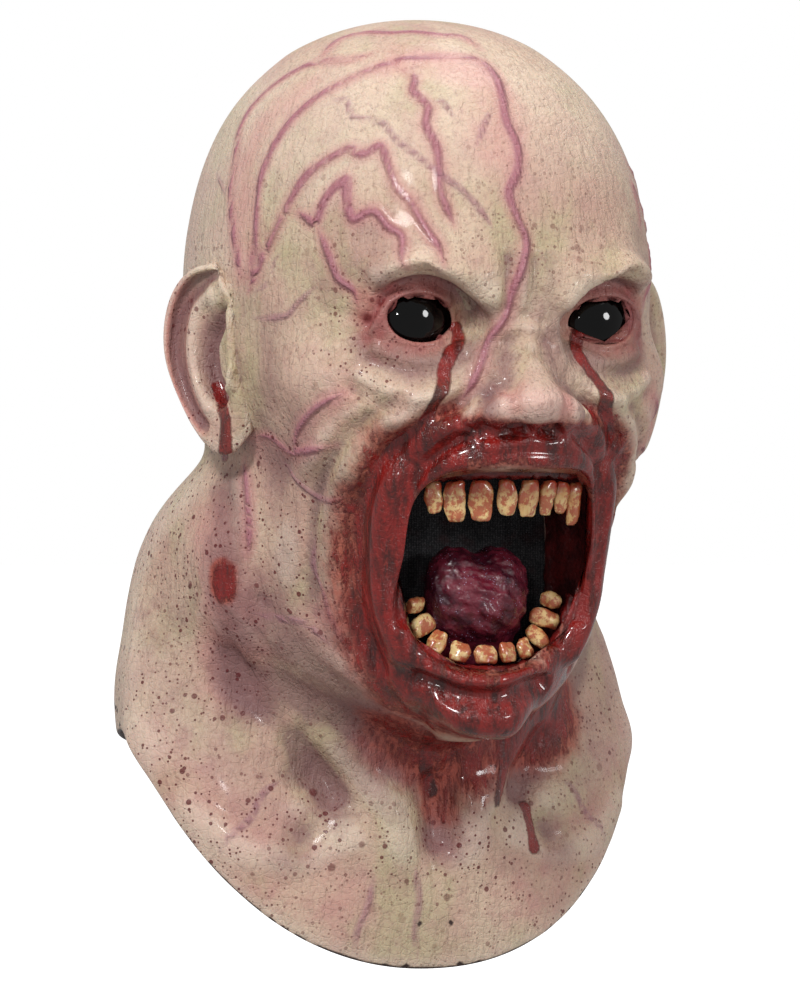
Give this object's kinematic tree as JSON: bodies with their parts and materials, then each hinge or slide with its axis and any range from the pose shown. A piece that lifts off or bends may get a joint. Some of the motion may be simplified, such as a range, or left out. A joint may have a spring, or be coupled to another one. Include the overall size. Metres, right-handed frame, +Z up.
{
  "type": "zombie mask",
  "caption": "Full-head latex zombie mask with ears, bald crown, black domed eyes, wide open mouth with separate teeth and tongue, and a neck and chest bib.",
  "frame": {"origin": "inside of the crown on the mid plane, where the top of the wearer's head carries the mask", "axes": "+Z up out of the crown, -Y the way the face looks, +X towards the wearer's left ear"},
  "size_m": [0.2348, 0.2459, 0.3793],
  "materials": {
    "latex_skin": "painted latex, satin, wet gloss on the blood",
    "mouth_flesh": "painted latex, wet gloss",
    "tooth_resin": "gloss",
    "eye_resin": "polished",
    "screen_cloth": "matt"
  },
  "bodies": {
    "root": {"mask_skin": "latex_skin", "eye_right": "eye_resin", "eye_left": "eye_resin", "mouth_lining": "mouth_flesh", "throat_screen": "screen_cloth", "upper_gum": "mouth_flesh", "lower_gum": "mouth_flesh", "upper_tooth_1": "tooth_resin", "upper_tooth_2": "tooth_resin", "upper_tooth_3": "tooth_resin", "upper_tooth_4": "tooth_resin", "upper_tooth_5": "tooth_resin", "upper_tooth_6": "tooth_resin", "upper_tooth_7": "tooth_resin", "upper_tooth_8": "tooth_resin", "lower_tooth_1": "tooth_resin", "lower_tooth_2": "tooth_resin", "lower_tooth_3": "tooth_resin", "lower_tooth_4": "tooth_resin", "lower_tooth_5": "tooth_resin", "lower_tooth_6": "tooth_resin", "lower_tooth_7": "tooth_resin", "lower_tooth_8": "tooth_resin", "lower_tooth_9": "tooth_resin", "lower_tooth_10": "tooth_resin", "tongue": "mouth_flesh"}
  },
  "joints": []
}
